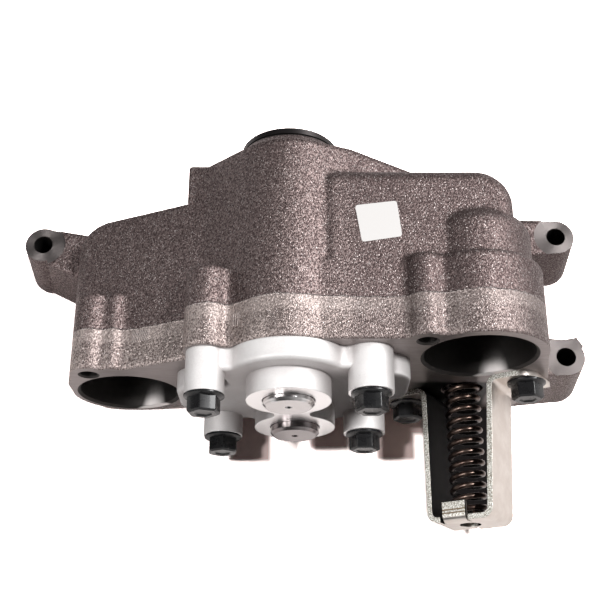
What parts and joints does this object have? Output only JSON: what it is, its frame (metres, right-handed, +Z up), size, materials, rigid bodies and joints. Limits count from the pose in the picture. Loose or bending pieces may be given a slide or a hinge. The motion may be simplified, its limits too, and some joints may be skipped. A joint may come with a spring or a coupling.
{
  "type": "engine oil pump",
  "caption": "Gear-type engine oil pump: cast-iron body with two round ports and mounting ears, aluminium gear cover, geared shafts in mesh and a strap-held relief valve.",
  "frame": {"origin": "middle of the pump's footprint, on the plane of the mounting ears' undersides", "axes": "+X to the right of the front face, across the two ports; +Y to the rear, along the shafts; +Z up, along the ears' bolt holes"},
  "size_m": [0.3522, 0.221, 0.1329],
  "materials": {
    "cast_iron": "sand-cast skin, dark brown-grey, with machined faces and bores",
    "cover_aluminium": "satin cast aluminium with bright machined bearing faces",
    "bushing_bronze": "smooth bearing bronze",
    "bolt_black": "glossy black oxide",
    "bracket_zinc": "bright zinc-plated steel strap with sheared edges",
    "spring_steel": "dark bronze-brown oil-tempered wire",
    "ground_steel": "ground and polished steel",
    "gear_steel": "machined steel"
  },
  "bodies": {
    "housing": {"body_bushing_drive": "bushing_bronze", "body_bushing_idler": "bushing_bronze", "bracket_bolt_left": "bolt_black", "bracket_bolt_right": "bolt_black", "cover_bolt_lower_left": "bolt_black", "cover_bolt_lower_right": "bolt_black", "cover_bolt_upper_left": "bolt_black", "cover_bolt_upper_right": "bolt_black", "cover_bushing_drive": "bushing_bronze", "cover_bushing_idler": "bushing_bronze", "gear_cover": "cover_aluminium", "lower_ring_dowel": "gear_steel", "pump_body": "cast_iron", "rear_bushing": "bushing_bronze", "relief_bracket": "bracket_zinc", "upper_ring_dowel": "gear_steel"},
    "drive_rotor": {"drive_shaft": "ground_steel", "drive_pump_gear": "gear_steel", "drive_gear_key": "gear_steel"},
    "idler_rotor": {"idler_shaft": "ground_steel", "idler_pump_gear": "gear_steel", "idler_gear_key": "gear_steel"},
    "relief_valve": {"relief_plunger": "ground_steel", "relief_spring": "spring_steel"}
  },
  "joints": [
    {"name": "drive_spin", "type": "hinge", "parent": "housing", "child": "drive_rotor", "pos_m": [-0.0061, -0.0305, 0.0917], "axis": [0, 1, 0], "continuous": true},
    {"name": "idler_spin", "type": "hinge", "parent": "housing", "child": "idler_rotor", "pos_m": [-0.003, -0.0305, 0.0423], "axis": [0, 1, 0], "continuous": true},
    {"name": "relief_slide", "type": "slide", "parent": "housing", "child": "relief_valve", "axis": [0, -1, 0], "range_m": [0, 0.012], "stiffness_N_per_m": 4000, "springref_m": -0.03, "deforming": ["relief_spring"]}
  ],
  "couplings": [
    {"joint": "idler_spin", "follows": "drive_spin", "ratio": -1}
  ]
}
